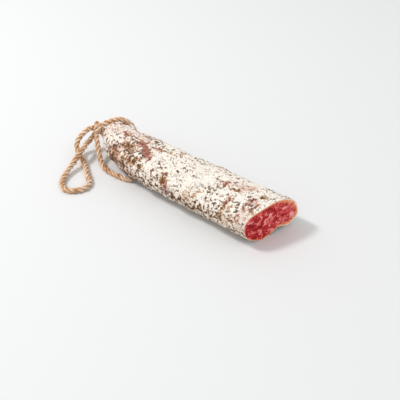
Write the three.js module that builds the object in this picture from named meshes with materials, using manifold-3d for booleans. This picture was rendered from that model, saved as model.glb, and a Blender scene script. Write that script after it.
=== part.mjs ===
// A cured longaniza sausage, cut across at one end and tied off with twine at the other.
// Units are millimetres and +Z is up. The sausage lies on z = 0, the middle of its own box is
// over the origin, the cut looks towards +X, and the tied end lies at -X and bends towards +Y.

import * as THREE from "three";
import { mergeVertices } from "three/addons/utils/BufferGeometryUtils.js";
import Module from "manifold-3d";

// Driving dimensions of the sausage

const CUT_WIDTH = 43.8; // widest, square to the length
const SHOULDER_WIDTH = 39.2; // where the straight stretch ends
const MIDDLE_FULLER = 1.6; // extra width half way along
const BODY_HEIGHT = 28.0; // before the underside is pressed flat by its own weight
const CUT_X = 79.9; // middle of the cut face
const CUT_BIAS = THREE.MathUtils.degToRad(17); // the far edge of the cut is the longer one
const CUT_FADE = 45; // length over which the slant of the cut dies away
const AXIS_Y = -1.1; // the straight stretch runs along this line
const BEND_X = -37.0; // start of the bend
const BEND_RADIUS = 43;
const BEND_ANGLE = THREE.MathUtils.degToRad(47.5); // turned through at the twine
const SHOULDER_SHIFT = 1.8; // the shoulder stands out on the far side of the bend
const SHOULDER_REACH = 15;

const TAPER_BEFORE = 9; // the taper to the neck starts this far before the bend
const NECK_RADIUS = 12.7; // the casing swells to this before the twine
const GROOVE_RADIUS = 9.3; // squeezed in under the twine
const TIP_RADIUS = 10.2; // gathered casing past the twine
const NECK_FULLER = 1.0; // more swelling on the far side, which half hides the twine there
const NECK_HEIGHT = 14.0; // centre of the neck above the table
const GROOVE_HALF = 2.3; // half the width of the groove's floor
const SWELL_AT = 4.4; // from the twine to the crest on each side of it
const TIP_LENGTH = 9.5; // from the twine to the very end

const PRESSED = 0.7; // how far the underside is flattened
const RIM_SHARE = 0.93; // the dried rim is the rest of the cut's radius
const MEAT_SUNK = 0.4; // the softer middle of the cut has shrunk back

// The bean shape of the section

const ROUNDNESS = 2.17; // exponent of the outline, 2 is an ellipse
const LEAN = 0.14; // the near side swells higher than the far side
const DENT_DEPTH = 3.8; // hollow along the underside
const DENT_Y = 7;
const DENT_WIDTH = 4.8;
const FOOT_DEPTH = 5.0; // the far side comes down to the table, except near the cut
const FOOT_Y = 15.5;
const FOOT_WIDTH = 5.5;
const FOOT_FROM = [8, 40]; // distance from the cut
const FLAT_DEPTH = 0.5; // shallow flat along the top
const FLAT_Y = -8;
const FLAT_WIDTH = 6;

// The relief of the dried casing

const LUMPS = 12;
const LUMP_HEIGHT = 0.13; // of each of the waves that add up to the lumps
const LUMP_LENGTHS = [16, 60]; // along the sausage
const LUMP_TURNS = [3, 8]; // fewest and most lumps around
const LUMP_SEED = 11;
const LUMPS_AT_CUT = 0.3; // share of their height that is left at the cut
const LUMPS_FROM_CUT = 18; // where they reach their full height
const PLEATS = 13; // folds drawn in by the twine
const PLEAT_UNEVEN = 0.9; // how much some folds crowd together, in radians of a fold
const PLEAT_HEIGHT = 0.45;
const PLEAT_REACH = 13;

const SIDES = 56;
const STRAIGHT_STEPS = 36;
const BEND_STEPS = 10;
const NECK_STATIONS = [-3.4, -GROOVE_HALF, 0, GROOVE_HALF, 3.4, SWELL_AT, 6, 7.4, 8.5, 9.2]; // from the twine
const FACE_SHARES = [0.5, RIM_SHARE, 1]; // of the section's radius, on the cut

// Driving dimensions of the twine

const TWINE = 3.8; // diameter
const GAP = 0.3; // between pieces that touch
const MERGE_WITHIN = 1e-3; // corners closer than this are one
const TWINE_SIDES = 8;
const RING_RADIUS = 11.6; // of its centre line
const RING_STEPS = 34;
const LOOP_STEPS = 60;
const TAIL_STEPS = 24;
const KNOT_OUT = 17.3; // from the middle of the neck
const KNOT_UP = THREE.MathUtils.degToRad(22); // above the horizontal through the neck
const KNOT_BACK = -1.0; // towards the body
const KNOT_TURN = 2.0; // radius of a turn's centre line
const KNOT_TURNS = [[-1.2, 0], [1.6, 0.12], [0.3, -0.9]]; // [distance along the knot's axis, tip in radians]
const KNOT_CORE = 3.0;
const KNOT_STEPS = 14;
const KNOT_LEAD = 2.4; // straight end of a strand where it leaves the knot
const KNOT_LEAD_STEPS = 4;

// The loop leaves the knot, crosses over itself, lies on the table and comes back under the crossing
const LOOP_ROUTE = [
  [-83.0, 1.5, 14.6], [-83.6, 0.8, 12.6], [-83.9, -0.8, 11.2], [-83.7, -3.1, 10.4],
  [-82.9, -6.4, 10.0], [-82.0, -10.2, 9.8], [-80.3, -14.0, 9.6], [-78.6, -17.8, 9.2],
  [-77.4, -21.4, 8.4], [-76.7, -25.3, 7.2], [-75.9, -30.0, 5.6], [-74.8, -34.9, 4.2],
  [-73.2, -39.9, 3.0], [-71.0, -44.6, 2.2], [-67.9, -48.8, 2.0], [-63.0, -51.9, 2.0],
  [-58.4, -51.8, 2.0], [-54.8, -49.6, 2.0], [-52.0, -45.9, 2.0], [-50.5, -41.8, 2.0],
  [-51.6, -37.6, 2.0], [-55.3, -33.8, 2.0], [-60.5, -30.4, 2.0], [-66.1, -26.6, 2.0],
  [-71.8, -22.7, 2.2], [-76.7, -20.0, 3.0], [-80.9, -18.5, 4.2], [-84.5, -17.1, 6.0],
  [-87.2, -15.4, 8.2], [-88.7, -12.8, 10.6], [-88.9, -9.5, 13.2], [-87.7, -6.2, 15.8],
  [-86.4, -4.2, 17.5], [-85.2, -2.5, 18.5],
];

// The short end hangs from the knot and lies along the foot of the sausage
const TAIL_ROUTE = [
  [-79.2, -0.9, 15.6], [-77.4, -3.0, 14.3], [-75.3, -4.8, 13.0], [-72.1, -7.3, 10.2],
  [-68.9, -9.8, 7.4], [-65.7, -12.0, 4.6], [-61.7, -14.2, 2.6], [-56.3, -16.4, 2.0],
  [-50.8, -17.5, 2.0], [-45.6, -17.5, 2.0], [-40.1, -17.3, 2.0], [-35.1, -16.6, 2.0],
  [-31.3, -15.9, 2.0], [-29.3, -15.3, 2.0],
];

// The spine and the size of the section along it

const STRAIGHT = CUT_X - BEND_X;
const TWINE_AT = STRAIGHT + BEND_RADIUS * BEND_ANGLE;
const LENGTH = TWINE_AT + TIP_LENGTH;

const mix = THREE.MathUtils.lerp;
const ease = THREE.MathUtils.smoothstep;
const bump = (x, middle, width) => Math.exp(-(((x - middle) / width) ** 2));

// The world place of a point, from its distance along the spine and its offsets from it
function onSpine(along, across, up) {
  if (along <= STRAIGHT) {
    const slant = across * Math.tan(CUT_BIAS) * (1 - ease(along, 0, CUT_FADE));
    return new THREE.Vector3(CUT_X - along + slant, AXIS_Y + across, up);
  }
  const turned = (along - STRAIGHT) / BEND_RADIUS;
  const radius = BEND_RADIUS - across;
  return new THREE.Vector3(
    BEND_X - radius * Math.sin(turned),
    AXIS_Y + BEND_RADIUS - radius * Math.cos(turned),
    up,
  );
}

// 0 on the straight stretch and 1 at the neck
const neckShare = (along) => ease(along, STRAIGHT - TAPER_BEFORE, TWINE_AT - SWELL_AT);

// Radius of the round neck: a swelling, the groove of the twine, and the gathered tip
function neckRadius(along) {
  const past = along - TWINE_AT;
  const crest = past < 0 ? NECK_RADIUS : TIP_RADIUS;
  const squeezed = mix(GROOVE_RADIUS, crest, ease(Math.abs(past), GROOVE_HALF, SWELL_AT));
  const left = THREE.MathUtils.clamp((past - SWELL_AT) / (TIP_LENGTH - SWELL_AT), 0, 1);
  return squeezed * Math.sqrt(1 - left * left);
}

function halfWidth(along) {
  const share = Math.min(along / STRAIGHT, 1);
  const body = mix(CUT_WIDTH, SHOULDER_WIDTH, share) + MIDDLE_FULLER * Math.sqrt(Math.sin(Math.PI * share));
  return mix(body / 2, neckRadius(along), neckShare(along));
}

function halfHeight(along) {
  return mix(BODY_HEIGHT / 2, neckRadius(along), neckShare(along));
}

function midHeight(along) {
  return mix(BODY_HEIGHT / 2 - PRESSED, NECK_HEIGHT, neckShare(along));
}

// Numbers between 0 and 1 that are the same in every run
function randomFrom(seed) {
  let state = seed;
  return () => {
    state = (state * 16807) % 2147483647;
    return state / 2147483647;
  };
}

const random = randomFrom(LUMP_SEED);
const waves = Array.from({ length: LUMPS }, (_, i) => ({
  around: LUMP_TURNS[0] + (i % (LUMP_TURNS[1] - LUMP_TURNS[0] + 1)),
  length: mix(LUMP_LENGTHS[0], LUMP_LENGTHS[1], random()),
  phase: random() * Math.PI * 2,
  sign: random() < 0.5 ? -1 : 1,
}));

// Height of the uneven casing over the smooth section
function relief(turn, along) {
  const lumps = waves.reduce(
    (sum, w) => sum + Math.sin(w.sign * w.around * turn + (along / w.length) * Math.PI * 2 + w.phase),
    0,
  );
  const toTwine = Math.abs(along - TWINE_AT);
  const clear = ease(toTwine, GROOVE_HALF, SWELL_AT);
  const drawn = clear * Math.exp(-(((toTwine - SWELL_AT) / PLEAT_REACH) ** 2));
  const pleats = Math.sin(PLEATS * turn + PLEAT_UNEVEN * Math.sin(2 * turn)) * drawn;
  const fuller = Math.max(Math.sin(turn), 0) * bump(along, TWINE_AT - SWELL_AT, SWELL_AT / 2);
  const fromCut = mix(LUMPS_AT_CUT, 1, ease(along, 0, LUMPS_FROM_CUT));
  return lumps * LUMP_HEIGHT * clear * fromCut + pleats * PLEAT_HEIGHT + fuller * clear * NECK_FULLER;
}

// A point of the outline at an angle from the top, turning towards +Y, as [across, up]
function outline(turn, along) {
  const body = 1 - neckShare(along);
  const power = 2 / mix(2, ROUNDNESS, body);
  const a = halfWidth(along);
  const b = halfHeight(along);
  const sine = Math.sin(turn);
  const cosine = Math.cos(turn);
  const across = a * Math.sign(sine) * Math.abs(sine) ** power;
  const level = Math.sign(cosine) * Math.abs(cosine) ** power;
  let up = b * level - body * LEAN * across * (1 - level * level);
  const foot = FOOT_DEPTH * bump(across, FOOT_Y, FOOT_WIDTH) * ease(along, ...FOOT_FROM);
  const crease = level < 0 ? DENT_DEPTH * bump(across, DENT_Y, DENT_WIDTH) - foot : 0;
  const flat = level > 0 ? FLAT_DEPTH * bump(across, FLAT_Y, FLAT_WIDTH) : 0;
  up += body * level * level * (crease - flat);
  const swell = along < LENGTH ? relief(turn, along) : 0;
  const shift = SHOULDER_SHIFT * bump(along, STRAIGHT, SHOULDER_REACH);
  return [across + shift + swell * sine, midHeight(along) + up + swell * cosine];
}

// The lathe's profile is [share of the section, distance along the spine]
function sausageProfile() {
  const points = [[0, 0], ...FACE_SHARES.map((share) => [share, 0])];
  for (let i = 1; i <= STRAIGHT_STEPS; i++) points.push([1, (STRAIGHT * i) / STRAIGHT_STEPS]);
  const bent = TWINE_AT - SWELL_AT - STRAIGHT;
  for (let i = 1; i <= BEND_STEPS; i++) points.push([1, STRAIGHT + (bent * i) / BEND_STEPS]);
  for (const past of NECK_STATIONS) points.push([1, TWINE_AT + past]);
  points.push([0, LENGTH]);
  return points.map(([share, along]) => new THREE.Vector2(share, along));
}

function sausageGeometry() {
  const lathe = new THREE.LatheGeometry(sausageProfile(), SIDES);
  lathe.deleteAttribute("normal");
  lathe.deleteAttribute("uv");
  const geometry = mergeVertices(lathe);
  const place = geometry.getAttribute("position");
  for (let i = 0; i < place.count; i++) {
    const along = place.getY(i);
    const share = Math.hypot(place.getX(i), place.getZ(i));
    const turn = Math.atan2(place.getX(i), place.getZ(i));
    const [across, up] = outline(turn, along);
    const middle = midHeight(along);
    const point = onSpine(along, across * share, middle + (up - middle) * share);
    if (along === 0 && share < (1 + RIM_SHARE) / 2) point.x -= MEAT_SUNK;
    point.z = Math.max(point.z, 0);
    place.setXYZ(i, point.x, point.y, point.z);
  }
  geometry.computeVertexNormals();
  return geometry;
}

// Twine

// A tube of the twine's section along a smooth curve through the points
function tubeGeometry(points, steps) {
  const section = new THREE.Shape();
  for (let i = 0; i < TWINE_SIDES; i++) {
    const angle = (i * Math.PI * 2) / TWINE_SIDES;
    const corner = [(TWINE / 2) * Math.cos(angle), (TWINE / 2) * Math.sin(angle)];
    if (i === 0) section.moveTo(...corner);
    else section.lineTo(...corner);
  }
  section.closePath();
  return new THREE.ExtrudeGeometry(section, {
    steps,
    curveSegments: 1,
    bevelEnabled: false,
    extrudePath: new THREE.CatmullRomCurve3(points, false, "centripetal"),
  });
}

const wasm = await Module();
wasm.setup();

function solidOf(geometry) {
  const bare = geometry.clone();
  bare.deleteAttribute("normal");
  bare.deleteAttribute("uv");
  const merged = mergeVertices(bare, MERGE_WITHIN);
  return new wasm.Manifold(
    new wasm.Mesh({
      numProp: 3,
      vertProperties: merged.getAttribute("position").array,
      triVerts: new Uint32Array(merged.index.array),
    }),
  );
}

function joined(geometries) {
  const mesh = geometries.map(solidOf).reduce((all, next) => all.add(next)).getMesh();
  const geometry = new THREE.BufferGeometry()
    .setAttribute("position", new THREE.BufferAttribute(mesh.vertProperties, 3))
    .setIndex(new THREE.BufferAttribute(mesh.triVerts, 1));
  geometry.computeVertexNormals();
  return geometry;
}

const toVector = ([x, y, z]) => new THREE.Vector3(x, y, z);

// The frame of the neck at the twine: x points out to the knot's side, y up, z on to the tip
const neckCentre = onSpine(TWINE_AT, 0, NECK_HEIGHT);
const neckOut = neckCentre.clone().sub(onSpine(TWINE_AT, 1, NECK_HEIGHT)).normalize();
const neckUp = new THREE.Vector3(0, 0, 1);
const neckOn = neckOut.clone().cross(neckUp);
const neckTurn = new THREE.Matrix4().makeBasis(neckOut, neckUp, neckOn);

const knotCentre = new THREE.Vector3(
  KNOT_OUT * Math.cos(KNOT_UP),
  KNOT_OUT * Math.sin(KNOT_UP),
  KNOT_BACK,
)
  .applyMatrix4(neckTurn)
  .add(neckCentre);

// One turn of the knot: a ring of twine round the knot's axis, moved along it and tipped
function knotTurn([offset, tip]) {
  return new THREE.TorusGeometry(KNOT_TURN, TWINE / 2, TWINE_SIDES, KNOT_STEPS)
    .rotateY(Math.PI / 2 + tip)
    .translate(offset, 0, 0);
}

// An end of twine from the middle of the knot to just short of where a route starts, square to it
function knotEnd([start, next]) {
  const from = toVector(start).sub(knotCentre);
  const back = toVector(start).sub(toVector(next)).normalize();
  const last = from.clone().addScaledVector(back, GAP);
  const bend = from.clone().addScaledVector(back, KNOT_LEAD);
  return tubeGeometry([new THREE.Vector3(), bend, last], KNOT_LEAD_STEPS);
}

function knotGeometry() {
  const turns = [
    ...KNOT_TURNS.map(knotTurn),
    new THREE.SphereGeometry(KNOT_CORE, KNOT_STEPS, TWINE_SIDES),
  ];
  const axis = new THREE.Matrix4().makeRotationZ(KNOT_UP).premultiply(neckTurn);
  turns.forEach((turn) => turn.applyMatrix4(axis));
  const ends = [LOOP_ROUTE, LOOP_ROUTE.toReversed(), TAIL_ROUTE].map(knotEnd);
  return joined([...turns, ...ends]);
}

// Materials and the scene graph

const casing = new THREE.MeshStandardMaterial({ color: 0xd8cdbf, roughness: 0.9, metalness: 0 });
const jute = new THREE.MeshStandardMaterial({ color: 0xb98252, roughness: 0.95, metalness: 0 });

function named(name, geometry, material) {
  const mesh = new THREE.Mesh(geometry, material);
  mesh.name = name;
  return mesh;
}

const neck = new THREE.Group();
neck.position.copy(neckCentre);
neck.quaternion.setFromRotationMatrix(neckTurn);
neck.add(
  named("twine_ring", new THREE.TorusGeometry(RING_RADIUS, TWINE / 2, TWINE_SIDES, RING_STEPS), jute),
);

const knot = named("twine_knot", knotGeometry(), jute);
knot.position.copy(knotCentre);

const longaniza = new THREE.Group();
longaniza.add(
  named("sausage", sausageGeometry(), casing),
  neck,
  knot,
  named("twine_loop", tubeGeometry(LOOP_ROUTE.map(toVector), LOOP_STEPS), jute),
  named("twine_tail", tubeGeometry(TAIL_ROUTE.map(toVector), TAIL_STEPS), jute),
);

export default longaniza;
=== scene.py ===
"""A cured longaniza sausage, cut across at one end and tied off with jute twine at the other.

Lengths are in metres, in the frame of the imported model: the sausage lies on z = 0, its cut
looks towards +X and its tied end bends towards +Y.
"""

import logging
import math
import random
from dataclasses import dataclass, field
from enum import Enum, IntEnum

import bpy
import numpy as np
from mathutils import Matrix, Vector, noise


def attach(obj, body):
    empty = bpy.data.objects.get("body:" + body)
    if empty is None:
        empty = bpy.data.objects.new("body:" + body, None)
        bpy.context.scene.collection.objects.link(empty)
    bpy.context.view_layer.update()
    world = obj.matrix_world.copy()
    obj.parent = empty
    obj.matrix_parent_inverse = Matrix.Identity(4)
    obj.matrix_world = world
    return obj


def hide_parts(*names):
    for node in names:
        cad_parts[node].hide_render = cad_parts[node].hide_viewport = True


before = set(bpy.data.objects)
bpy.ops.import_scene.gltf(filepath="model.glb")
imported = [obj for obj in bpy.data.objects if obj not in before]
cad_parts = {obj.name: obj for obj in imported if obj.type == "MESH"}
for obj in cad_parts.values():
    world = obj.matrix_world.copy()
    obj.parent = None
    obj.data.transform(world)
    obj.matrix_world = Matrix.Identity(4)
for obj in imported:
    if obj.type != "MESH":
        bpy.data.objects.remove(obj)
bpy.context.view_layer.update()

MM = 0.001
BODY = "root"

LOG = logging.getLogger("longaniza")

Colour = tuple[float, float, float]
Place = tuple[float, float, float]


class Zone(IntEnum):
    """The sausage's material slots, in the order in which its mesh holds them."""

    CASING = 0
    MEAT = 1


class FarEnd(Enum):
    """What is on the far end of a free cord."""

    OBJECT = "object"
    BARE = "bare"


# Working on a mesh


def take(piece: bpy.types.Object) -> None:
    """Deselects everything, then selects one object and makes it the active one."""
    bpy.ops.object.select_all(action="DESELECT")
    piece.select_set(True)
    bpy.context.view_layer.objects.active = piece


def edit(piece: bpy.types.Object, kind: str = "VERT") -> None:
    """Opens a piece in edit mode with nothing selected.

    Args:
        piece: the object to work on.
        kind: VERT, EDGE or FACE, what the selection holds.
    """
    take(piece)
    bpy.ops.object.mode_set(mode="EDIT")
    bpy.ops.mesh.select_mode(type=kind)
    bpy.ops.mesh.select_all(action="DESELECT")


def close() -> None:
    """Goes back to object mode."""
    bpy.ops.object.mode_set(mode="OBJECT")


def pick(piece: bpy.types.Object, chosen: np.ndarray, kind: str = "VERT") -> None:
    """Opens a piece in edit mode with some of its corners or faces selected.

    Args:
        piece: the object to work on.
        chosen: one true or false for each corner or face.
        kind: VERT or FACE.
    """
    edit(piece, kind)
    close()
    parts = piece.data.polygons if kind == "FACE" else piece.data.vertices
    parts.foreach_set("select", chosen.astype(bool))
    bpy.ops.object.mode_set(mode="EDIT")


def corners(piece: bpy.types.Object) -> np.ndarray:
    """The places of a mesh's corners, one row each."""
    flat = np.empty(len(piece.data.vertices) * 3, np.float32)
    piece.data.vertices.foreach_get("co", flat)
    return flat.reshape(-1, 3).astype(float)


def move_corners(piece: bpy.types.Object, places: np.ndarray) -> None:
    """Puts a mesh's corners at new places."""
    piece.data.vertices.foreach_set("co", places.astype(np.float32).ravel())
    piece.data.update()


def outward(piece: bpy.types.Object) -> np.ndarray:
    """The normals at a mesh's corners, one row each."""
    flat = np.empty(len(piece.data.vertices) * 3, np.float32)
    piece.data.vertices.foreach_get("normal", flat)
    return flat.reshape(-1, 3).astype(float)


def write_attribute(piece: bpy.types.Object, name: str, values: np.ndarray) -> None:
    """Stores a number or a vector on each corner, for the material to read."""
    vector = values.ndim == 2
    kind = "FLOAT_VECTOR" if vector else "FLOAT"
    layer = piece.data.attributes.new(name, kind, "POINT")
    layer.data.foreach_set("vector" if vector else "value", values.astype(np.float32).ravel())


def finish_modifiers(piece: bpy.types.Object) -> None:
    """Applies all of a piece's modifiers, in their order."""
    take(piece)
    for modifier in list(piece.modifiers):
        bpy.ops.object.modifier_apply(modifier=modifier.name)


def ease(values: np.ndarray, low: float, high: float) -> np.ndarray:
    """0 below low and 1 above high, with a smooth step between them."""
    share = np.clip((values - low) / (high - low), 0, 1)
    return share * share * (3 - 2 * share)


def bump(values: np.ndarray, middle: float, width: float) -> np.ndarray:
    """1 at the middle, falling away smoothly on both sides."""
    return np.exp(-(((values - middle) / width) ** 2))


def cloud(points: np.ndarray, size: float, layers: int = 3, seed: float = 0.0) -> np.ndarray:
    """Smooth noise, about -1 to 1.

    Args:
        points: places, one row each.
        size: the size of a blot, in the units of the places.
        layers: how many finer noises are added.
        seed: a shift, so that two noises differ.

    Returns:
        One number for each place.
    """
    shift = Vector((seed, 2 * seed, 3 * seed))
    return np.array([noise.fractal(Vector(p) / size + shift, 1.0, 2.0, layers) for p in points])


# Finishes


class Graph:
    """The node graph of one material, with a call for each kind of node that it needs."""

    def __init__(self, name: str) -> None:
        """Starts a material that holds only its shader."""
        self.material = bpy.data.materials.new(name)
        self.material.use_nodes = True
        self.tree = self.material.node_tree
        self.shader = self.tree.nodes["Principled BSDF"]

    def put(self, socket: bpy.types.NodeSocket, value: object) -> None:
        """Links a socket into an input, or sets the input to a number or colour."""
        if isinstance(value, bpy.types.NodeSocket):
            self.tree.links.new(value, socket)
        elif isinstance(value, tuple) and socket.type == "RGBA":
            socket.default_value = (*value, 1.0)
        else:
            socket.default_value = value

    def coordinates(self) -> bpy.types.NodeSocket:
        """Places in the frame of the whole object."""
        return self.tree.nodes.new("ShaderNodeTexCoord").outputs["Object"]

    def attribute(self, name: str, output: str = "Fac") -> bpy.types.NodeSocket:
        """A number or vector that the mesh holds."""
        node = self.tree.nodes.new("ShaderNodeAttribute")
        node.attribute_name = name
        return node.outputs[output]

    def stretch(self, vector: bpy.types.NodeSocket, scale: Place) -> bpy.types.NodeSocket:
        """Scales a pattern differently along each axis."""
        node = self.tree.nodes.new("ShaderNodeMapping")
        self.put(node.inputs["Vector"], vector)
        node.inputs["Scale"].default_value = scale
        return node.outputs["Vector"]

    def noise(
        self,
        vector: bpy.types.NodeSocket,
        size: float,
        detail: float = 3,
        roughness: float = 0.55,
        distortion: float = 0,
        output: str = "Fac",
    ) -> bpy.types.NodeSocket:
        """Cloudy noise whose blots are about one size wide."""
        node = self.tree.nodes.new("ShaderNodeTexNoise")
        self.put(node.inputs["Vector"], vector)
        node.inputs["Scale"].default_value = 1 / size
        node.inputs["Detail"].default_value = detail
        node.inputs["Roughness"].default_value = roughness
        node.inputs["Distortion"].default_value = distortion
        return node.outputs[output]

    def cells(
        self, vector: bpy.types.NodeSocket, size: float, feature: str, output: str
    ) -> bpy.types.NodeSocket:
        """Cells about one size wide: their distance or their colour."""
        node = self.tree.nodes.new("ShaderNodeTexVoronoi")
        node.feature = feature
        self.put(node.inputs["Vector"], vector)
        node.inputs["Scale"].default_value = 1 / size
        return node.outputs[output]

    def sum(self, kind: str, a: object, b: object) -> bpy.types.NodeSocket:
        """Works out a number from two others."""
        node = self.tree.nodes.new("ShaderNodeMath")
        node.operation = kind
        self.put(node.inputs[0], a)
        self.put(node.inputs[1], b)
        return node.outputs[0]

    def swing(self, value: bpy.types.NodeSocket, by: float) -> bpy.types.NodeSocket:
        """Turns noise around one half into noise around zero, of another height."""
        return self.sum("MULTIPLY", self.sum("SUBTRACT", value, 0.5), by)

    def moved(
        self, vector: bpy.types.NodeSocket, by: bpy.types.NodeSocket, far: float
    ) -> bpy.types.NodeSocket:
        """Moves places by a colour noise, so that a pattern loses its straight lines."""
        node = self.tree.nodes.new("ShaderNodeVectorMath")
        node.operation = "MULTIPLY_ADD"
        self.put(node.inputs[0], by)
        node.inputs[1].default_value = (far, far, far)
        self.put(node.inputs[2], vector)
        return node.outputs[0]

    def step(self, value: object, low: float, high: float) -> bpy.types.NodeSocket:
        """A smooth step from 0 at low to 1 at high."""
        node = self.tree.nodes.new("ShaderNodeMapRange")
        node.interpolation_type = "SMOOTHSTEP"
        self.put(node.inputs["Value"], value)
        node.inputs["From Min"].default_value = low
        node.inputs["From Max"].default_value = high
        return node.outputs["Result"]

    def between(
        self, value: bpy.types.NodeSocket, low: float, high: float
    ) -> bpy.types.NodeSocket:
        """Spreads a number from 0 to 1 over another range."""
        node = self.tree.nodes.new("ShaderNodeMapRange")
        self.put(node.inputs["Value"], value)
        node.inputs["To Min"].default_value = low
        node.inputs["To Max"].default_value = high
        return node.outputs["Result"]

    def ramp(
        self, value: bpy.types.NodeSocket, stops: list[tuple[float, Colour]]
    ) -> bpy.types.NodeSocket:
        """A colour that changes with a number, through the stops given."""
        node = self.tree.nodes.new("ShaderNodeValToRGB")
        self.put(node.inputs["Fac"], value)
        band = node.color_ramp.elements
        while len(band) < len(stops):
            band.new(0.5)
        for element, (place, colour) in zip(band, stops):
            element.position = place
            element.color = (*colour, 1.0)
        return node.outputs["Color"]

    def mix(
        self, share: object, a: object, b: object, blend: str = "MIX"
    ) -> bpy.types.NodeSocket:
        """Mixes two colours, or multiplies one by the other."""
        node = self.tree.nodes.new("ShaderNodeMix")
        node.data_type = "RGBA"
        node.blend_type = blend
        self.put(node.inputs["Factor"], share)
        self.put(node.inputs[6], a)
        self.put(node.inputs[7], b)
        return node.outputs[2]

    def raise_surface(self, height: bpy.types.NodeSocket, strength: float, deep: float) -> None:
        """Gives the surface a fine relief of a depth in metres."""
        node = self.tree.nodes.new("ShaderNodeBump")
        node.inputs["Strength"].default_value = strength
        node.inputs["Distance"].default_value = deep
        self.put(node.inputs["Height"], height)
        self.put(self.shader.inputs["Normal"], node.outputs["Normal"])

    def wear(self, **values: object) -> bpy.types.Material:
        """Sets the shader's inputs, with spaces for underscores, and gives the material."""
        for name, value in values.items():
            self.put(self.shader.inputs[name.replace("_", " ")], value)
        return self.material


@dataclass(frozen=True)
class CasingFinish:
    """Dry white mould over a red-brown casing, worn away in patches and pricked with dark pits."""

    cream: Colour = (0.95, 0.91, 0.83)
    ivory: Colour = (0.78, 0.70, 0.58)
    beige: Colour = (0.72, 0.58, 0.455)
    sandy: Colour = (0.66, 0.40, 0.24)
    blush: Colour = (0.66, 0.40, 0.32)
    thin: Colour = (0.51, 0.29, 0.135)
    brown: Colour = (0.19, 0.080, 0.035)
    dark: Colour = (0.030, 0.012, 0.006)
    ochre: Colour = (0.47, 0.245, 0.085)
    wine: Colour = (0.25, 0.050, 0.032)
    rose: Colour = (0.47, 0.185, 0.135)
    pit: Colour = (0.075, 0.030, 0.010)

    def material(self) -> bpy.types.Material:
        """Builds the casing's material."""
        g = Graph("mould_on_casing")
        places = g.coordinates()
        mould = g.attribute("mould")
        ruddy = g.attribute("ruddy")
        worn = g.attribute("worn")
        broad = g.noise(places, 3.4 * MM, 6, 0.66, 0.5)
        fine = g.noise(places, 0.9 * MM, 4, 0.6)
        cover = g.sum("ADD", mould, g.swing(broad, 2.7))
        cover = g.sum("ADD", cover, g.swing(fine, 1.3))
        film = g.step(cover, 0.10, 0.36)
        crust = g.step(cover, 0.34, 0.62)
        tone = g.noise(places, 1.8 * MM, 5, 0.65)
        skin = g.ramp(tone, [(0.42, self.dark), (0.50, self.brown), (0.62, self.ochre)])
        redder = g.ramp(tone, [(0.39, self.dark), (0.47, self.wine), (0.60, self.rose)])
        bare = g.mix(g.step(ruddy, -0.2, -0.8), g.mix(ruddy, skin, redder), self.pit)
        veil = g.mix(ruddy, self.thin, self.blush)
        powder = g.ramp(fine, [(0.33, self.ivory), (0.48, self.cream)])
        stain = g.step(g.noise(places, 4.5 * MM, 5, 0.65), 0.50, 0.66)
        stain = g.sum("MULTIPLY", stain, g.between(worn, 0.30, 0.72))
        stain = g.sum("ADD", stain, g.between(worn, 0, 0.40))
        powder = g.mix(stain, powder, g.mix(ruddy, self.beige, self.sandy))
        flush = g.step(g.sum("ADD", ruddy, g.swing(broad, 1.0)), 0.55, 0.95)
        powder = g.mix(g.sum("MULTIPLY", flush, 0.6), powder, self.blush)
        colour = g.mix(crust, g.mix(film, bare, veil), powder)
        gap = self.cracks(g, places, worn)
        tan = g.mix(ruddy, self.ochre, self.blush)
        halo = g.sum("MULTIPLY", g.step(gap, 0.12, 0.0), g.between(worn, 0.60, 0.95))
        colour = g.mix(halo, colour, tan)
        cracked = g.step(gap, 0.02, -0.06)
        colour = g.mix(g.sum("MULTIPLY", cracked, 0.92), colour, self.pit)
        height = g.sum("ADD", cover, g.swing(fine, 0.8))
        height = g.sum("SUBTRACT", height, g.step(gap, 0.08, -0.02))
        g.raise_surface(height, 0.8, 0.5 * MM)
        rough = g.between(crust, 0.5, 0.92)
        return g.wear(Base_Color=colour, Roughness=rough, Specular_IOR_Level=0.25)

    def cracks(
        self, g: Graph, places: bpy.types.NodeSocket, worn: bpy.types.NodeSocket
    ) -> bpy.types.NodeSocket:
        """How far a place is from the nearest crack between two flakes of mould.

        Args:
            g: the material's graph.
            places: places on the object.
            worn: 1 where the mould is most broken, by the table, and 0 where it is whole.

        Returns:
            0 and less in a crack, and more away from it. Most cracks are broken into short ticks.
        """
        warp = g.noise(places, 3.0 * MM, 3, output="Color")
        bent = g.moved(g.stretch(places, (1.0, 0.70, 0.70)), warp, 3.6 * MM)
        flakes = g.cells(bent, 3.9 * MM, "DISTANCE_TO_EDGE", "Distance")
        broken = g.swing(g.noise(places, 1.8 * MM, 3, 0.60), 1.10)
        crowd = g.swing(g.noise(places, 9.0 * MM, 3), 0.66)
        gap = g.sum("ADD", g.sum("ADD", flakes, broken), crowd)
        return g.sum("SUBTRACT", gap, g.between(worn, -0.060, 0.150))


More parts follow.
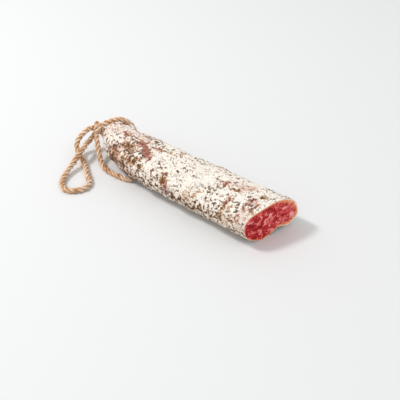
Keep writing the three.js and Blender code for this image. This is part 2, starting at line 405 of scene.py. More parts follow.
@dataclass(frozen=True)
class MeatFinish:
    """Minced cured meat at the cut: dark lean, pink fat, and a dry orange rim in a pale casing."""

    deep: Colour = (0.25, 0.003, 0.006)
    lean: Colour = (0.43, 0.011, 0.015)
    red: Colour = (0.62, 0.037, 0.041)
    pink: Colour = (0.79, 0.13, 0.125)
    fat: Colour = (0.96, 0.43, 0.40)
    rim: Colour = (0.97, 0.25, 0.070)
    edge: Colour = (0.97, 0.73, 0.54)

    def material(self) -> bpy.types.Material:
        """Builds the cut's material."""
        g = Graph("cut_meat")
        places = g.coordinates()
        near = g.attribute("rim")
        worn = g.attribute("worn")
        warp = g.noise(places, 3.0 * MM, 2, output="Color")
        bent = g.moved(places, warp, 3.4 * MM)
        grain = g.sum("ADD", g.swing(g.noise(bent, 4.0 * MM, 2, 0.5, 0.8), 1.35), 0.55)
        crumbs = g.swing(g.noise(bent, 1.5 * MM, 3, 0.6), 0.75)
        lobes = g.swing(g.noise(places, 10.0 * MM, 1), 0.5)
        marble = g.sum("ADD", g.sum("ADD", grain, crumbs), lobes)
        marble = g.sum("SUBTRACT", marble, g.between(worn, -0.02, 0.02))
        marble = g.sum("SUBTRACT", marble, g.sum("MULTIPLY", g.step(near, 0.2, 0.9), 0.04))
        stops = [
            (0.34, self.deep),
            (0.45, self.lean),
            (0.55, self.red),
            (0.66, self.pink),
            (0.79, self.fat),
        ]
        meat = g.ramp(marble, stops)
        wander = g.swing(g.noise(places, 3.5 * MM, 3), 1.0)
        out = g.sum("SUBTRACT", g.sum("ADD", near, wander), g.between(worn, -0.15, 0.15))
        flecks = g.sum("MULTIPLY", g.step(g.noise(places, 1.6 * MM, 2), 0.42, 0.66), 0.55)
        dry = g.mix(flecks, self.rim, self.edge)
        dried = g.mix(g.sum("MULTIPLY", g.step(out, 0.20, 0.78), 0.85), meat, dry)
        edging = g.step(g.sum("ADD", near, g.sum("MULTIPLY", wander, 0.50)), 0.70, 0.92)
        colour = g.mix(edging, dried, self.edge)
        g.raise_surface(marble, 0.7, 1.0 * MM)
        return g.wear(
            Base_Color=colour,
            Roughness=0.34,
            Specular_IOR_Level=0.09,
            Subsurface_Weight=0.06,
            Subsurface_Radius=(2.0, 0.6, 0.4),
            Subsurface_Scale=0.5 * MM,
        )


@dataclass(frozen=True)
class JuteFinish:
    """Dry jute: tan fibres that run along each strand, with painted shade darkening the grooves
    between the strands.
    """

    light: Colour = (0.82, 0.64, 0.48)
    tan: Colour = (0.74, 0.48, 0.30)
    brown: Colour = (0.50, 0.26, 0.13)
    # dark is the darkest fibre tone and also the colour of the painted shade between the strands.
    dark: Colour = (0.24, 0.105, 0.050)

    def material(self) -> bpy.types.Material:
        """Builds the twine's material."""
        g = Graph("jute")
        along = g.attribute("strand", "Vector")
        hair = g.noise(g.stretch(along, (1.0, 0.14, 1.0)), 0.42, 4, 0.7)
        blotch = g.noise(g.coordinates(), 6.0 * MM, 4, 0.62)
        shade = g.sum("ADD", hair, g.swing(blotch, 1.3))
        stops = [(0.22, self.dark), (0.34, self.brown), (0.48, self.tan), (0.64, self.light)]
        colour = g.ramp(shade, stops)
        # Painted shade: the colour goes towards dark where the surface lies deep between the
        # strands, stronger in some places than in others.
        painted_groove_shade = g.between(g.step(g.attribute("crown"), 0.58, 0.90), 1.0, 0.0)
        groove_shade_strength = g.step(g.noise(g.coordinates(), 3.0 * MM, 2), 0.35, 0.60)
        colour = g.mix(g.sum("MULTIPLY", painted_groove_shade, g.between(groove_shade_strength, 0.25, 0.70)), colour, self.dark)
        g.raise_surface(hair, 0.9, 0.3 * MM)
        return g.wear(Base_Color=colour, Roughness=0.9, Specular_IOR_Level=0.2)


# The sausage


@dataclass(frozen=True)
class BarePatch:
    """A place where the mould is gone. Lengths are along the sausage and around it."""

    along: float
    turn: float
    long: float
    wide: float
    depth: float = 0.8
    ruddy: float = 0.3


@dataclass
class Sausage:
    """The cured meat in its casing, with the cut face, the bend and the gathered tip."""

    cut_x: float = 79.9 * MM
    axis_y: float = -1.1 * MM
    cut_bias: float = math.radians(17)
    cut_fade: float = 45 * MM
    bend_x: float = -37 * MM
    bend_radius: float = 43 * MM
    bend_angle: float = math.radians(47.5)
    middle_height: float = 13.5 * MM
    body_radius: float = 17 * MM
    finer: int = 2
    merge_within: float = 0.02 * MM
    rings: tuple[tuple[float, float], ...] = (
        (0.20 * MM, -0.12 * MM),
        (0.50 * MM, 0.0),
        (1.50 * MM, 0.45 * MM),
    )
    grid_span: int = 36
    grid_offset: int = 70
    grid_evened: int = 30
    rim_reach: float = 2.6 * MM
    tip_folds: int = 12
    tip_fold_depth: float = 1.1 * MM
    seed: int = 5
    patches: tuple[BarePatch, ...] = field(
        default=(
            BarePatch(124, -72, 6, 7, 0.9, 0.35),
            BarePatch(117, -31, 6, 3, 0.8, 0.0),
            BarePatch(127.5, 7, 4.5, 4, 1.0, 0.7),
            BarePatch(109, -9, 5, 4, 0.75, 0.8),
            BarePatch(103.5, -22, 4, 3.5, 0.8, 0.9),
            BarePatch(98, -34, 5, 4, 0.95, 1.0),
            BarePatch(112.5, 35, 3, 2.2, 0.9, 0.9),
            BarePatch(94, 3, 6, 2.5, 0.8, 0.0),
            BarePatch(105, -60, 4, 3, 0.6, 0.1),
            BarePatch(75.6, -65, 2.8, 3.4, 1.0, 0.0),
            BarePatch(72.8, -81, 3.0, 4.8, 1.2, 1),
            BarePatch(45.8, -77, 1.3, 1.5, 1.0, -1.0),
            BarePatch(41.2, -79, 1.8, 1.7, 1.0, -1.0),
            BarePatch(75.3, -69, 1.6, 2.0, 0.6, -1.0),
            BarePatch(105, -61, 1.3, 1.6, 1.1, -1.0),
            BarePatch(97.5, -64, 1.2, 1.4, 1.1, -0.6),
            BarePatch(30, 5, 13, 9, 0.08, 0.75),
            BarePatch(7, -66, 7, 7, 0.36, 0.7),
            BarePatch(143, -10, 8, 9, 0.42, 0.6),
            BarePatch(147, 28, 6, 6, 0.55, 0.5),
            BarePatch(112, -52, 7, 5, 0.32, 0.2),
            BarePatch(99, -6, 8, 6, 0.20, 0.65),
            BarePatch(112, 14, 7, 6, 0.25, 0.65),
            BarePatch(84, 14, 7, 5, 0.30, 0.1),
            BarePatch(46, 44, 14, 6, 0.15, 0.2),
            BarePatch(35.6, -8, 2.6, 6, 0.7, 0.7),
            BarePatch(26, -14, 6, 2.2, 0.7, 0.3),
            BarePatch(20, 18, 6, 6, 0.4, 0.8),
            BarePatch(9, 4, 3, 3, 0.8, 0.0),
            BarePatch(24, -50, 2.2, 3.8, 0.8, 0.8),
            BarePatch(11, -26, 3, 5, 0.8, 0.8),
            BarePatch(4.4, -40, 1.6, 4, 0.7, 0.9),
            BarePatch(21, -76, 9, 6, 0.45, 0.1),
            BarePatch(53, -70, 7, 6, 0.30, 0.2),
            BarePatch(83, -74, 5, 5, 0.32, 0.3),
            BarePatch(7, -30, 5, 5, 0.12, 0.8),
            BarePatch(37, -64, 9, 12, -0.14, 0.3),
            BarePatch(80, -50, 7, 7, -0.10, 0.3),
        )
    )

    def spine(self, points: np.ndarray) -> tuple[np.ndarray, np.ndarray]:
        """Distances along the spine from the cut, and offsets across it towards +Y.

        Args:
            points: places in the frame, one row each.

        Returns:
            The distances and the offsets, one number for each place.
        """
        x, y = points[:, 0], points[:, 1]
        across = y - self.axis_y
        along = self.cut_x - x
        slant = across * math.tan(self.cut_bias)
        along = along + slant * (1 - ease(along, 0, self.cut_fade))
        side_x = self.bend_x - x
        side_y = self.axis_y + self.bend_radius - y
        turned = np.arctan2(side_x, side_y)
        straight = self.cut_x - self.bend_x
        bent = x < self.bend_x
        along = np.where(bent, straight + self.bend_radius * turned, along)
        across = np.where(bent, self.bend_radius - np.hypot(side_x, side_y), across)
        return along, across

    def twine_at(self) -> float:
        """Distance along the spine from the cut to the twine."""
        return self.cut_x - self.bend_x + self.bend_radius * self.bend_angle

    def copy_solid(self) -> bpy.types.Object:
        """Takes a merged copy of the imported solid, in quads, with its cut left open."""
        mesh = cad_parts["sausage"].data.copy()
        mesh.materials.clear()
        piece = bpy.data.objects.new("cured_sausage", mesh)
        bpy.context.scene.collection.objects.link(piece)
        edit(piece)
        bpy.ops.mesh.select_all(action="SELECT")
        bpy.ops.mesh.remove_doubles(threshold=self.merge_within)
        bpy.ops.mesh.tris_convert_to_quads(face_threshold=math.pi, shape_threshold=math.pi)
        close()
        away = np.array([f.normal.x for f in piece.data.polygons])
        middle = np.array([f.center.x for f in piece.data.polygons])
        end = self.cut_x - 10 * MM
        pick(piece, (away > 0.85) & (middle > end), "FACE")
        bpy.ops.mesh.delete(type="FACE")
        close()
        return piece

    def refine(self, piece: bpy.types.Object) -> None:
        """Makes the faces small enough for the relief."""
        piece.modifiers.new("finer", "SUBSURF")
        piece.modifiers["finer"].levels = self.finer
        piece.modifiers["finer"].render_levels = self.finer
        finish_modifiers(piece)
        take(piece)
        bpy.ops.object.shade_smooth()

    def close_cut(self, piece: bpy.types.Object) -> tuple[np.ndarray, np.ndarray]:
        """Folds the casing's edge over, sinks the meat behind it and fills it with a fine grid.

        Args:
            piece: the sausage, open at the cut.

        Returns:
            1 for each corner on the cut and 0 for the others, and the casing's edge as places.
        """
        edit(piece)
        bpy.ops.mesh.select_non_manifold()
        close()
        rim = np.array([v.select for v in piece.data.vertices])
        edge = corners(piece)[rim]
        inward = self.inward(edge)
        ring = edge
        for width, sunk in self.rings:
            made = len(piece.data.vertices)
            bpy.ops.object.mode_set(mode="EDIT")
            bpy.ops.mesh.extrude_region_move()
            close()
            places = corners(piece)
            gaps = np.linalg.norm(places[made:][:, None] - ring[None], axis=2)
            ring = edge + inward * width
            ring[:, 0] -= sunk
            places[made:] = ring[gaps.argmin(axis=1)]
            move_corners(piece, places)
        made = len(piece.data.vertices)
        bpy.ops.object.mode_set(mode="EDIT")
        bpy.ops.mesh.fill_grid(span=self.grid_span, offset=self.grid_offset)
        close()
        pick(piece, np.arange(len(piece.data.vertices)) >= made)
        bpy.ops.mesh.vertices_smooth(factor=0.5, repeat=self.grid_evened)
        close()
        cut = np.ones(len(piece.data.vertices))
        cut[: len(rim)] = rim
        return cut, edge

    def inward(self, edge: np.ndarray) -> np.ndarray:
        """Directions in the plane of the cut, square to its outline and towards the meat.

        Args:
            edge: the places along the outline, in any order.

        Returns:
            One unit vector for each place.
        """
        centre = edge.mean(axis=0)
        order = np.argsort(np.arctan2(edge[:, 2] - centre[2], edge[:, 1] - centre[1]))
        loop = edge[order]
        run = np.roll(loop, -2, axis=0) - np.roll(loop, 2, axis=0)
        face = np.linalg.svd(edge - centre)[2][2]
        side = np.cross(face, run)
        side /= np.linalg.norm(side, axis=1)[:, None]
        if ((centre - loop) * side).sum() < 0:
            side = -side
        found = np.empty_like(edge)
        found[order] = side
        return found

    def relief(self, piece: bpy.types.Object, cut: np.ndarray, edge: np.ndarray) -> None:
        """Wrinkles and pits the casing, roughens the cut, and stores what the finish reads.

        Args:
            piece: the sausage.
            cut: 1 at the corners on the cut and 0 elsewhere.
            edge: places along the casing's edge.
        """
        places = corners(piece)
        along, across = self.spine(places)
        up = places[:, 2] - self.middle_height
        turn = np.degrees(np.arctan2(across, up))
        flat = np.column_stack([along, across, up])
        skin = 1 - cut
        to_twine = np.abs(along - self.twine_at())
        low = 0.9 * (1 - ease(places[:, 2], 6 * MM, 26 * MM))
        whole = 1 - 0.75 * ease(along, 126 * MM, 140 * MM)
        mould, ruddy = self.coverage(flat, along, turn, low)
        creased = self.creases(flat, low, to_twine)
        folds = self.gathers(along, turn)
        lumps = 0.16 * MM * cloud(flat, 4.0 * MM, 4, 11.0)
        crust = 0.22 * MM * ease(mould, 0.15, 0.6)
        rise = lumps + crust - creased - folds - 0.12 * MM
        meat = 0.13 * MM * cloud(places, 1.9 * MM, 3, 23.0)
        places += outward(piece) * (rise * skin + meat * cut)[:, None]
        places[:, 2] = np.maximum(places[:, 2], 0)
        move_corners(piece, places)
        write_attribute(piece, "mould", mould - (0.35 * creased * whole + 0.2 * folds) / MM)
        write_attribute(piece, "ruddy", ruddy)
        nose = ease(along, 88 * MM, 120 * MM) * (1 - 0.6 * ease(along, 117 * MM, 130 * MM))
        under = 1 - ease(places[:, 2], 7 * MM, 14 * MM)
        worn = np.clip(low * (1 - 0.45 * under) + 0.40 * nose, 0, 1) * whole
        write_attribute(piece, "worn", worn)
        write_attribute(piece, "rim", self.rim_places(places, cut, edge))

    def rim_places(self, places: np.ndarray, cut: np.ndarray, edge: np.ndarray) -> np.ndarray:
        """How near a place on the cut is to the casing.

        Args:
            places: the sausage's corners.
            cut: 1 at the corners on the cut and 0 elsewhere.
            edge: places along the casing's edge.

        Returns:
            0 in the middle of the meat, and 1 at the edge and on the casing.
        """
        near = np.ones(len(places))
        right = ease(places[:, 1], 2 * MM, 15 * MM)
        top = ease(places[:, 2], 17 * MM, 26 * MM)
        reach = self.rim_reach * (0.50 + 1.55 * right + 0.75 * top)
        for i in np.flatnonzero(cut):
            far = np.linalg.norm(edge - places[i], axis=1).min()
            near[i] = 1 - min(far / reach[i], 1)
        return near

    def coverage(
        self,
        flat: np.ndarray,
        along: np.ndarray,
        turn: np.ndarray,
        low: np.ndarray,
    ) -> tuple[np.ndarray, np.ndarray]:
        """How thick the mould is, and how red the casing is under it.

        Args:
            flat: places along, across and up from the spine.
            along: distances from the cut.
            turn: degrees from the top, towards +Y.
            low: 1 by the table and 0 on the upper side.

        Returns:
            The mould from 0, bare, to 1, thick, and the redness from 0 to 1.
        """
        nose = ease(along, 80 * MM, 125 * MM) * (1 - ease(along, 126 * MM, 140 * MM))
        mould = 0.82 + 0.12 * cloud(flat, 12 * MM, 2, 3.0) - (0.05 + 0.16 * nose) * low
        mould = mould - 0.06 * nose
        ruddy = 0.25 + 0.2 * cloud(flat, 15 * MM, 2, 7.0) + 0.38 * ease(along, 88 * MM, 112 * MM)
        wander = cloud(flat, 3.0 * MM, 4, 17.0)
        for patch in self.patches:
            aside = np.abs((turn - patch.turn + 180) % 360 - 180)
            around = np.radians(aside) * self.body_radius
            far = np.hypot((along - patch.along * MM) / patch.long, around / patch.wide) / MM
            inside = 1 - ease(far + 0.6 * wander, 0.35, 1.4)
            mould = mould - patch.depth * 0.75 * inside
            ruddy = ruddy * (1 - inside) + patch.ruddy * inside
        return mould, np.clip(ruddy, -1, 1)

    def creases(self, flat: np.ndarray, low: np.ndarray, to_twine: np.ndarray) -> np.ndarray:
        """Depth of the drying wrinkles, which run along the sausage and gather at the twine."""
        drawn = bump(to_twine, 4 * MM, 12 * MM)
        long = flat * np.array([0.22, 1.0, 1.0])
        ridge = np.abs(cloud(long, 1.7 * MM, 2, 31.0))
        fold = 1 - ease(ridge, 0.0, 0.22)
        short = 1 - ease(np.abs(cloud(flat, 2.6 * MM, 2, 37.0)), 0.0, 0.10)
        deep = 0.06 + 0.30 * low + 0.25 * drawn
        return (fold * deep + short * (0.10 + 0.12 * low)) * MM

    def gathers(self, along: np.ndarray, turn: np.ndarray) -> np.ndarray:
        """Depth of the folds of the tip, drawn together by the twine.

        Args:
            along: distances from the cut.
            turn: degrees from the top, towards +Y.

        Returns:
            One depth for each place.
        """
        past = along - self.twine_at()
        angle = np.radians(turn)
        folds = np.abs(np.sin(self.tip_folds / 2 * angle + 1.1 * np.sin(2 * angle + 0.6)))
        reach = ease(past, 2.5 * MM, 5.5 * MM)
        return self.tip_fold_depth * (1 - np.sqrt(folds)) * reach

    def paint(self, piece: bpy.types.Object, cut: np.ndarray) -> None:
        """Gives the casing and the cut their own finishes.

        Args:
            piece: the sausage.
            cut: 1 at the corners on the cut and 0 elsewhere.
        """
        piece.data.materials.append(CasingFinish().material())
        piece.data.materials.append(MeatFinish().material())
        for face in piece.data.polygons:
            inside = cut[list(face.vertices)].all()
            face.material_index = Zone.MEAT if inside else Zone.CASING

    def build(self) -> bpy.types.Object:
        """Builds the whole sausage.

        Returns:
            The finished piece.
        """
        piece = self.copy_solid()
        self.refine(piece)
        cut, edge = self.close_cut(piece)
        self.relief(piece, cut, edge)
        self.paint(piece, cut)
        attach(piece, BODY)
        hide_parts("sausage")
        return piece


# Twine


def smooth_route(stops: list[Vector], spacing: float) -> list[Vector]:
    """A smooth line through the stops.

    Args:
        stops: points that the line goes through.
        spacing: about how far apart the new points are.

    Returns:
        Points of a centripetal Catmull-Rom curve, the first and last stop among them.
    """
    ends = [2 * stops[0] - stops[1], *stops, 2 * stops[-1] - stops[-2]]
    line = [stops[0]]
    for a, b, c, d in zip(ends, ends[1:], ends[2:], ends[3:]):
        t0 = 0.0
        t1 = t0 + math.sqrt((b - a).length)
        t2 = t1 + math.sqrt((c - b).length)
        t3 = t2 + math.sqrt((d - c).length)
        count = max(1, round((c - b).length / spacing))
        for i in range(1, count + 1):
            t = t1 + (t2 - t1) * i / count
            ab = a.lerp(b, (t - t0) / (t1 - t0))
            bc = b.lerp(c, (t - t1) / (t2 - t1))
            cd = c.lerp(d, (t - t2) / (t3 - t2))
            abc = ab.lerp(bc, (t - t0) / (t2 - t0))
            bcd = bc.lerp(cd, (t - t1) / (t3 - t1))
            line.append(abc.lerp(bcd, (t - t1) / (t2 - t1)))
    return line


def route_length(line: list[Vector]) -> float:
    """The length of a line of points."""
    return sum((b - a).length for a, b in zip(line, line[1:]))


@dataclass
class Twine:
    """A length of three-strand jute twine, laid along a route."""

    name: str
    line: list[Vector]
    diameter: float = 4.3 * MM
    strand_radius: float = 1.14 * MM
    strand_sides: int = 12
    yarn_pinch: float = 0.9
    lay: float = 12.5 * MM
    steps_a_turn: int = 18
    hairs: float = 900.0
    taper: float = 0.0
    seed: int = 1

    def length(self) -> float:
        """The length of the centre line."""
        return route_length(self.line)

    def twist(self) -> bpy.types.Object:
        """Twists three strands into a straight rope along +Z, as long as the route."""
        take_nothing()
        offset = self.diameter / 2 - self.strand_radius
        bpy.ops.mesh.primitive_circle_add(
            vertices=self.strand_sides, radius=self.strand_radius, location=(0, 0, 0)
        )
        rope = bpy.context.object
        rope.name = self.name
        pinched = np.arange(self.strand_sides) % 4 == 0
        pick(rope, pinched)
        pinch = (self.yarn_pinch, self.yarn_pinch, 1)
        bpy.ops.transform.resize(value=pinch, center_override=(0, 0, 0))
        bpy.ops.mesh.select_all(action="SELECT")
        bpy.ops.transform.translate(value=(offset, 0, 0))
        for _ in range(2):
            bpy.ops.mesh.duplicate()
            bpy.ops.transform.rotate(
                value=math.tau / 3, orient_axis="Z", center_override=(0, 0, 0)
            )
        close()
        turns = max(1, round(self.length() / self.lay))
        screw = rope.modifiers.new("twist", "SCREW")
        screw.angle = math.tau
        screw.screw_offset = self.length() / turns
        screw.iterations = turns
        screw.steps = self.steps_a_turn
        screw.render_steps = self.steps_a_turn
        screw.use_smooth_shade = True
        finish_modifiers(rope)
        edit(rope)
        bpy.ops.mesh.select_non_manifold()
        bpy.ops.mesh.fill_holes(sides=0)
        bpy.ops.mesh.select_all(action="SELECT")
        bpy.ops.mesh.normals_make_consistent(inside=False)
        close()
        return rope

    def mark_strands(self, rope: bpy.types.Object) -> None:
        """Stores each corner's place on its strand, and how far out it stands."""
        places = corners(rope)
        x, y, z = places.T
        turns = max(1, round(self.length() / self.lay))
        turned = math.tau * z * turns / self.length()
        angle = np.arctan2(y, x)
        sector = math.tau / 3
        best = np.round((angle - turned) / sector)
        middle = turned + best * sector
        offset = self.diameter / 2 - self.strand_radius
        dx = x - offset * np.cos(middle)
        dy = y - offset * np.sin(middle)
        around = np.arctan2(dy, dx) - middle
        strand = np.column_stack([np.cos(around), z / self.strand_radius, np.sin(around) + 9 * best])
        write_attribute(rope, "strand", strand)
        # The jute finish reads the crown to paint shade into the grooves between the strands.
        write_attribute(rope, "crown", np.hypot(x, y) / (self.diameter / 2))

    def narrow_end(self, rope: bpy.types.Object) -> None:
        """Draws the strands together towards the twine's bare end."""
        places = corners(rope)
        left = self.length() - places[:, 2]
        share = 0.35 + 0.65 * ease(left, 0, self.taper)
        places[:, :2] *= share[:, None]
        move_corners(rope, places)

    def hair(self) -> bpy.types.Object:
        """One loose fibre: a thin bent cone, to be copied."""
        take_nothing()
        bpy.ops.mesh.primitive_cone_add(
            vertices=3, radius1=0.075 * MM, radius2=0.02 * MM, depth=2.2 * MM, location=(0, 0, 0)
        )
        hair = bpy.context.object
        edit(hair, "EDGE")
        bpy.ops.mesh.select_all(action="SELECT")
        bpy.ops.mesh.subdivide(number_cuts=3)
        close()
        curl = hair.modifiers.new("curl", "SIMPLE_DEFORM")
        curl.deform_method = "BEND"
        curl.angle = math.radians(70)
        curl.deform_axis = "X"
        finish_modifiers(hair)
        places = corners(hair)
        places -= places[places[:, 2].argmin()]
        move_corners(hair, places)
        return hair

    def add_hairs(self, rope: bpy.types.Object) -> None:
        """Sets loose fibres along the rope, most of them lying close to it."""
        draw = random.Random(self.seed)
        first = self.hair()
        copies = []
        for _ in range(round(self.hairs * self.length())):
            at = draw.uniform(0.01, 0.97) * self.length()
            angle = draw.uniform(0, math.tau)
            lean = draw.uniform(0.15, 0.9)
            roll = draw.uniform(0, math.tau)
            size = draw.uniform(0.6, 1.5)
            place = (
                Matrix.Rotation(angle, 4, "Z")
                @ Matrix.Translation((self.diameter * 0.38, 0, at))
                @ Matrix.Rotation(lean, 4, "Y")
                @ Matrix.Rotation(draw.choice((-0.7, 0.7)), 4, "X")
                @ Matrix.Rotation(roll, 4, "Z")
                @ Matrix.Scale(size, 4)
            )
            mesh = first.data.copy()
            mesh.transform(place)
            copy = bpy.data.objects.new("hair", mesh)
            bpy.context.scene.collection.objects.link(copy)
            copies.append(copy)
        bpy.data.objects.remove(first)
        take(rope)
        for copy in copies:
            copy.select_set(True)
        bpy.ops.object.join()

    def lay_down(self, rope: bpy.types.Object) -> None:
        """Bends the straight rope along the route and roughens it."""
        guide = bpy.data.curves.new("guide", "CURVE")
        guide.dimensions = "3D"
        guide.twist_mode = "MINIMUM"
        guide.resolution_u = 1
        spline = guide.splines.new("POLY")
        spline.points.add(len(self.line) - 1)
        for point, place in zip(spline.points, self.line):
            point.co = (*place, 1.0)
        path = bpy.data.objects.new("guide", guide)
        bpy.context.scene.collection.objects.link(path)
        bend = rope.modifiers.new("bend", "CURVE")
        bend.object = path
        bend.deform_axis = "POS_Z"
        grain = bpy.data.textures.new("jute_grain", "CLOUDS")
        grain.noise_scale = 2.0 * MM
        rough = rope.modifiers.new("rough", "DISPLACE")
        rough.texture = grain
        rough.texture_coords = "LOCAL"
        rough.strength = 0.5 * MM
        finish_modifiers(rope)
        bpy.data.objects.remove(path)
        places = corners(rope)
        places[:, 2] = np.maximum(places[:, 2], 0.05 * MM)
        move_corners(rope, places)

    def build(self) -> bpy.types.Object:
        """Builds the length of twine and dresses it.

        Returns:
            The finished piece.
        """
        rope = self.twist()
        self.add_hairs(rope)
        self.mark_strands(rope)
        if self.taper:
            self.narrow_end(rope)
        self.lay_down(rope)
        rope.data.materials.clear()
        rope.data.materials.append(JUTE)
        take(rope)
        bpy.ops.object.shade_smooth()
        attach(rope, BODY)
        return rope


def take_nothing() -> None:
    """Deselects everything, so that a new primitive is alone."""
    bpy.ops.object.select_all(action="DESELECT")


@dataclass
class Tie:
    """The twine that draws the casing in: its ring, its knot, the free loop and the tail."""

    ring_centre: Vector = field(default_factory=lambda: Vector((-68.70, 12.85, 14.0)) * MM)
    out: Vector = field(default_factory=lambda: Vector((-0.7373, -0.6756, 0)))
    on: Vector = field(default_factory=lambda: Vector((-0.6756, 0.7373, 0)))
    ring_radius: float = 11.6 * MM
    knot_far: float = 17.3 * MM
    knot_up: float = math.radians(22)
    knot_back: float = -1.0 * MM
    tucked: float = 3.6 * MM
    spacing: float = 0.8 * MM
    loop_length: float = 0.150
    tail_length: float = 0.061
    loop_stops: tuple[Place, ...] = (
        (-83.0, 1.5, 14.6), (-83.6, 0.8, 12.6), (-83.9, -0.8, 11.2), (-83.7, -3.1, 10.4),
        (-82.9, -6.4, 10.0), (-82.0, -10.2, 9.8), (-80.3, -14.0, 9.6), (-78.6, -17.8, 9.2),
        (-77.4, -21.4, 8.4), (-76.7, -25.3, 7.2), (-75.9, -30.0, 5.6), (-74.8, -34.9, 4.2),
        (-73.2, -39.9, 3.0), (-71.0, -44.6, 2.2), (-67.9, -48.8, 2.0), (-63.0, -51.9, 2.0),
        (-58.4, -51.8, 2.0), (-54.8, -49.6, 2.0), (-52.0, -45.9, 2.0), (-50.5, -41.8, 2.0),
        (-51.6, -37.6, 2.0), (-55.3, -33.8, 2.0), (-60.5, -30.4, 2.0), (-66.1, -26.6, 2.0),
        (-71.8, -22.7, 2.2), (-76.7, -20.0, 3.0), (-80.9, -18.5, 4.2), (-84.5, -17.1, 6.0),
        (-87.2, -15.4, 8.2), (-88.7, -12.8, 10.6), (-88.9, -9.5, 13.2), (-87.7, -6.2, 15.8),
        (-86.4, -4.2, 17.5), (-85.2, -2.5, 18.5),
    )
    tail_stops: tuple[Place, ...] = (
        (-79.2, -0.9, 15.6), (-77.4, -3.0, 14.3), (-75.3, -4.8, 13.0), (-72.1, -7.3, 10.2),
        (-68.9, -9.8, 7.4), (-65.7, -12.0, 4.6), (-61.7, -14.2, 2.6), (-56.3, -16.4, 2.0),
        (-50.8, -17.5, 2.0), (-45.6, -17.5, 2.0), (-40.1, -17.3, 2.0), (-35.1, -16.6, 2.0),
        (-31.3, -15.9, 2.0), (-29.3, -15.3, 2.0),
    )

    def knot_axes(self) -> Matrix:
        """The knot's frame: x out from the neck and up, z on towards the tip."""
        up = Vector((0, 0, 1))
        out = self.out * math.cos(self.knot_up) + up * math.sin(self.knot_up)
        over = up * math.cos(self.knot_up) - self.out * math.sin(self.knot_up)
        axes = Matrix((out, over, self.on)).transposed().to_4x4()
        axes.translation = self.ring_centre + out * self.knot_far + self.on * self.knot_back
        return axes

    def towards_knot(self, stop: Place) -> Vector:
        """A point inside the knot, on the line from a cord's end to the knot's middle."""
        end = Vector(stop) * MM
        middle = self.knot_axes().translation
        return end + (middle - end).normalized() * self.tucked

    def loop(self) -> bpy.types.Object:
        """The free loop, which crosses over itself and lies on the table."""
        ends = [self.towards_knot(self.loop_stops[0]), self.towards_knot(self.loop_stops[-1])]
        stops = [ends[0], *[Vector(p) * MM for p in self.loop_stops], ends[1]]
        line = smooth_route(stops, self.spacing)
        piece = Twine("twine_loop_rope", line, seed=3).build()
        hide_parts("twine_loop")
        return piece

    def tail(self) -> bpy.types.Object:
        """The loose end, which hangs from the knot and lies along the sausage's foot."""
        start = self.towards_knot(self.tail_stops[0])
        stops = [start, *[Vector(p) * MM for p in self.tail_stops]]
        line = smooth_route(stops, self.spacing)
        piece = Twine("twine_tail_rope", line, taper=7 * MM, seed=4).build()
        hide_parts("twine_tail")
        return piece

    def ring(self) -> bpy.types.Object:
        """The twine round the neck, whose two ends run into the knot."""
        axes = self.knot_axes()
        out = axes.col[0].to_3d()
        over = axes.col[1].to_3d()
        gap = math.acos(self.ring_radius / self.knot_far)
        stops = []
        count = 30
        for i in range(count + 1):
            angle = gap + (math.tau - 2 * gap) * i / count
            side = out * math.cos(angle) + over * math.sin(angle)
            stops.append(self.ring_centre + side * self.ring_radius)
        middle = axes.translation
        ends = [stops[0].lerp(middle, 0.5), stops[-1].lerp(middle, 0.5)]
        inner = [stops[0].lerp(middle, 0.9), stops[-1].lerp(middle, 0.9)]
        stops = [inner[0], ends[0], *stops, ends[1], inner[1]]
        line = smooth_route(stops, self.spacing)
        piece = Twine("twine_neck_ring", line, seed=5, hairs=600).build()
        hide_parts("twine_ring")
        return piece

    def knot(self) -> bpy.types.Object:
        """The knot: two turns side by side, and a third that crosses over them."""
        axes = self.knot_axes()
        stops = []
        steps = 12
        for i in range(2 * steps + 1):
            angle = math.tau * i / steps
            along = -1.6 + 2.9 * i / (2 * steps)
            stops.append((along, 2.0 * math.cos(angle), 2.0 * math.sin(angle)))
        for i in range(1, steps + 1):
            angle = math.tau * i / steps
            wide = 2.0 + 1.3 * math.sin(math.pi * i / steps)
            along = 1.3 - 2.6 * i / steps
            stops.append((along, wide * math.cos(angle), wide * math.sin(angle)))
        stops += [(-2.0, 0.4, 0.2), (-3.6, -0.8, 0.2), (-5.4, -1.6, 0.4), (-7.2, -2.0, 0.6)]
        places = [axes @ (Vector(s) * MM) for s in stops]
        line = smooth_route(places, self.spacing * 0.5)
        piece = Twine(
            "twine_neck_knot", line, diameter=3.9 * MM, strand_radius=1.03 * MM, seed=6, hairs=500
        ).build()
        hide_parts("twine_knot")
        return piece


# The studio


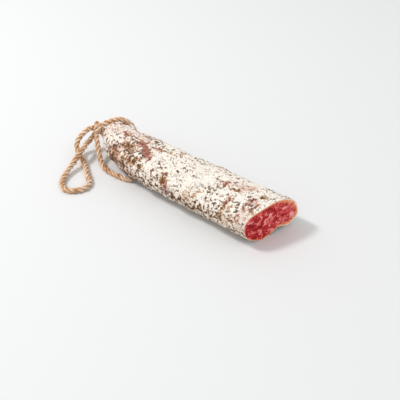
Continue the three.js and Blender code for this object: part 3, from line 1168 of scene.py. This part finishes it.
@dataclass
class Studio:
    """The camera, the pale floor and the soft light."""

    target: Place = (0.02105, -0.00048, 0.0)
    azimuth: float = math.radians(38.1)
    elevation: float = math.radians(39.0)
    distance: float = 0.4215
    lens: float = 54.0
    floor_size: float = 6.0
    floor_colour: Colour = (0.735, 0.742, 0.742)
    key_from: Place = (-0.70, -0.43, 1.10)
    key_size: float = 0.22
    key_power: float = 9.6
    sky: float = 0.82

    def camera(self) -> None:
        """Sets the camera where the photograph's stood."""
        level = math.cos(self.elevation)
        back = Vector((
            math.sin(self.azimuth) * level,
            -math.cos(self.azimuth) * level,
            math.sin(self.elevation),
        ))
        lens = bpy.data.cameras.new("camera")
        lens.lens = self.lens
        lens.sensor_width = 36.0
        lens.clip_start = 0.01
        camera = bpy.data.objects.new("camera", lens)
        bpy.context.scene.collection.objects.link(camera)
        camera.location = Vector(self.target) + back * self.distance
        camera.rotation_euler = back.to_track_quat("Z", "Y").to_euler()
        bpy.context.scene.camera = camera

    def floor(self) -> None:
        """A wide plain sheet at the height of the table."""
        take_nothing()
        bpy.ops.mesh.primitive_plane_add(size=self.floor_size, location=(0, 0, -0.02 * MM))
        floor = bpy.context.object
        floor.name = "floor"
        g = Graph("pale_floor")
        floor.data.materials.append(g.wear(Base_Color=self.floor_colour, Roughness=0.95))

    def light(self) -> None:
        """A soft key light from the left and behind, in a bright room."""
        lamp = bpy.data.lights.new("key", "AREA")
        lamp.energy = self.key_power
        lamp.size = self.key_size
        key = bpy.data.objects.new("key", lamp)
        bpy.context.scene.collection.objects.link(key)
        key.location = self.key_from
        key.rotation_euler = Vector(self.key_from).to_track_quat("Z", "Y").to_euler()
        world = bpy.data.worlds.new("room")
        world.use_nodes = True
        sky = world.node_tree.nodes["Background"]
        sky.inputs["Color"].default_value = (1.0, 1.0, 1.0, 1.0)
        sky.inputs["Strength"].default_value = self.sky
        bpy.context.scene.world = world
        bpy.context.scene.view_settings.view_transform = "Standard"

    def build(self) -> None:
        """Sets up all of the studio."""
        self.camera()
        self.floor()
        self.light()


JUTE = JuteFinish().material()


def main() -> None:
    """Builds the studio, the twine and the sausage, and reports each piece."""
    logging.basicConfig(level=logging.INFO, format="%(message)s")
    Studio().build()
    tie = Tie()
    for make in (tie.loop, tie.tail, tie.ring, tie.knot, Sausage().build):
        piece = make()
        faces = len(piece.data.polygons)
        LOG.info("%s: %d faces", piece.name, faces)


if __name__ == "__main__":
    main()
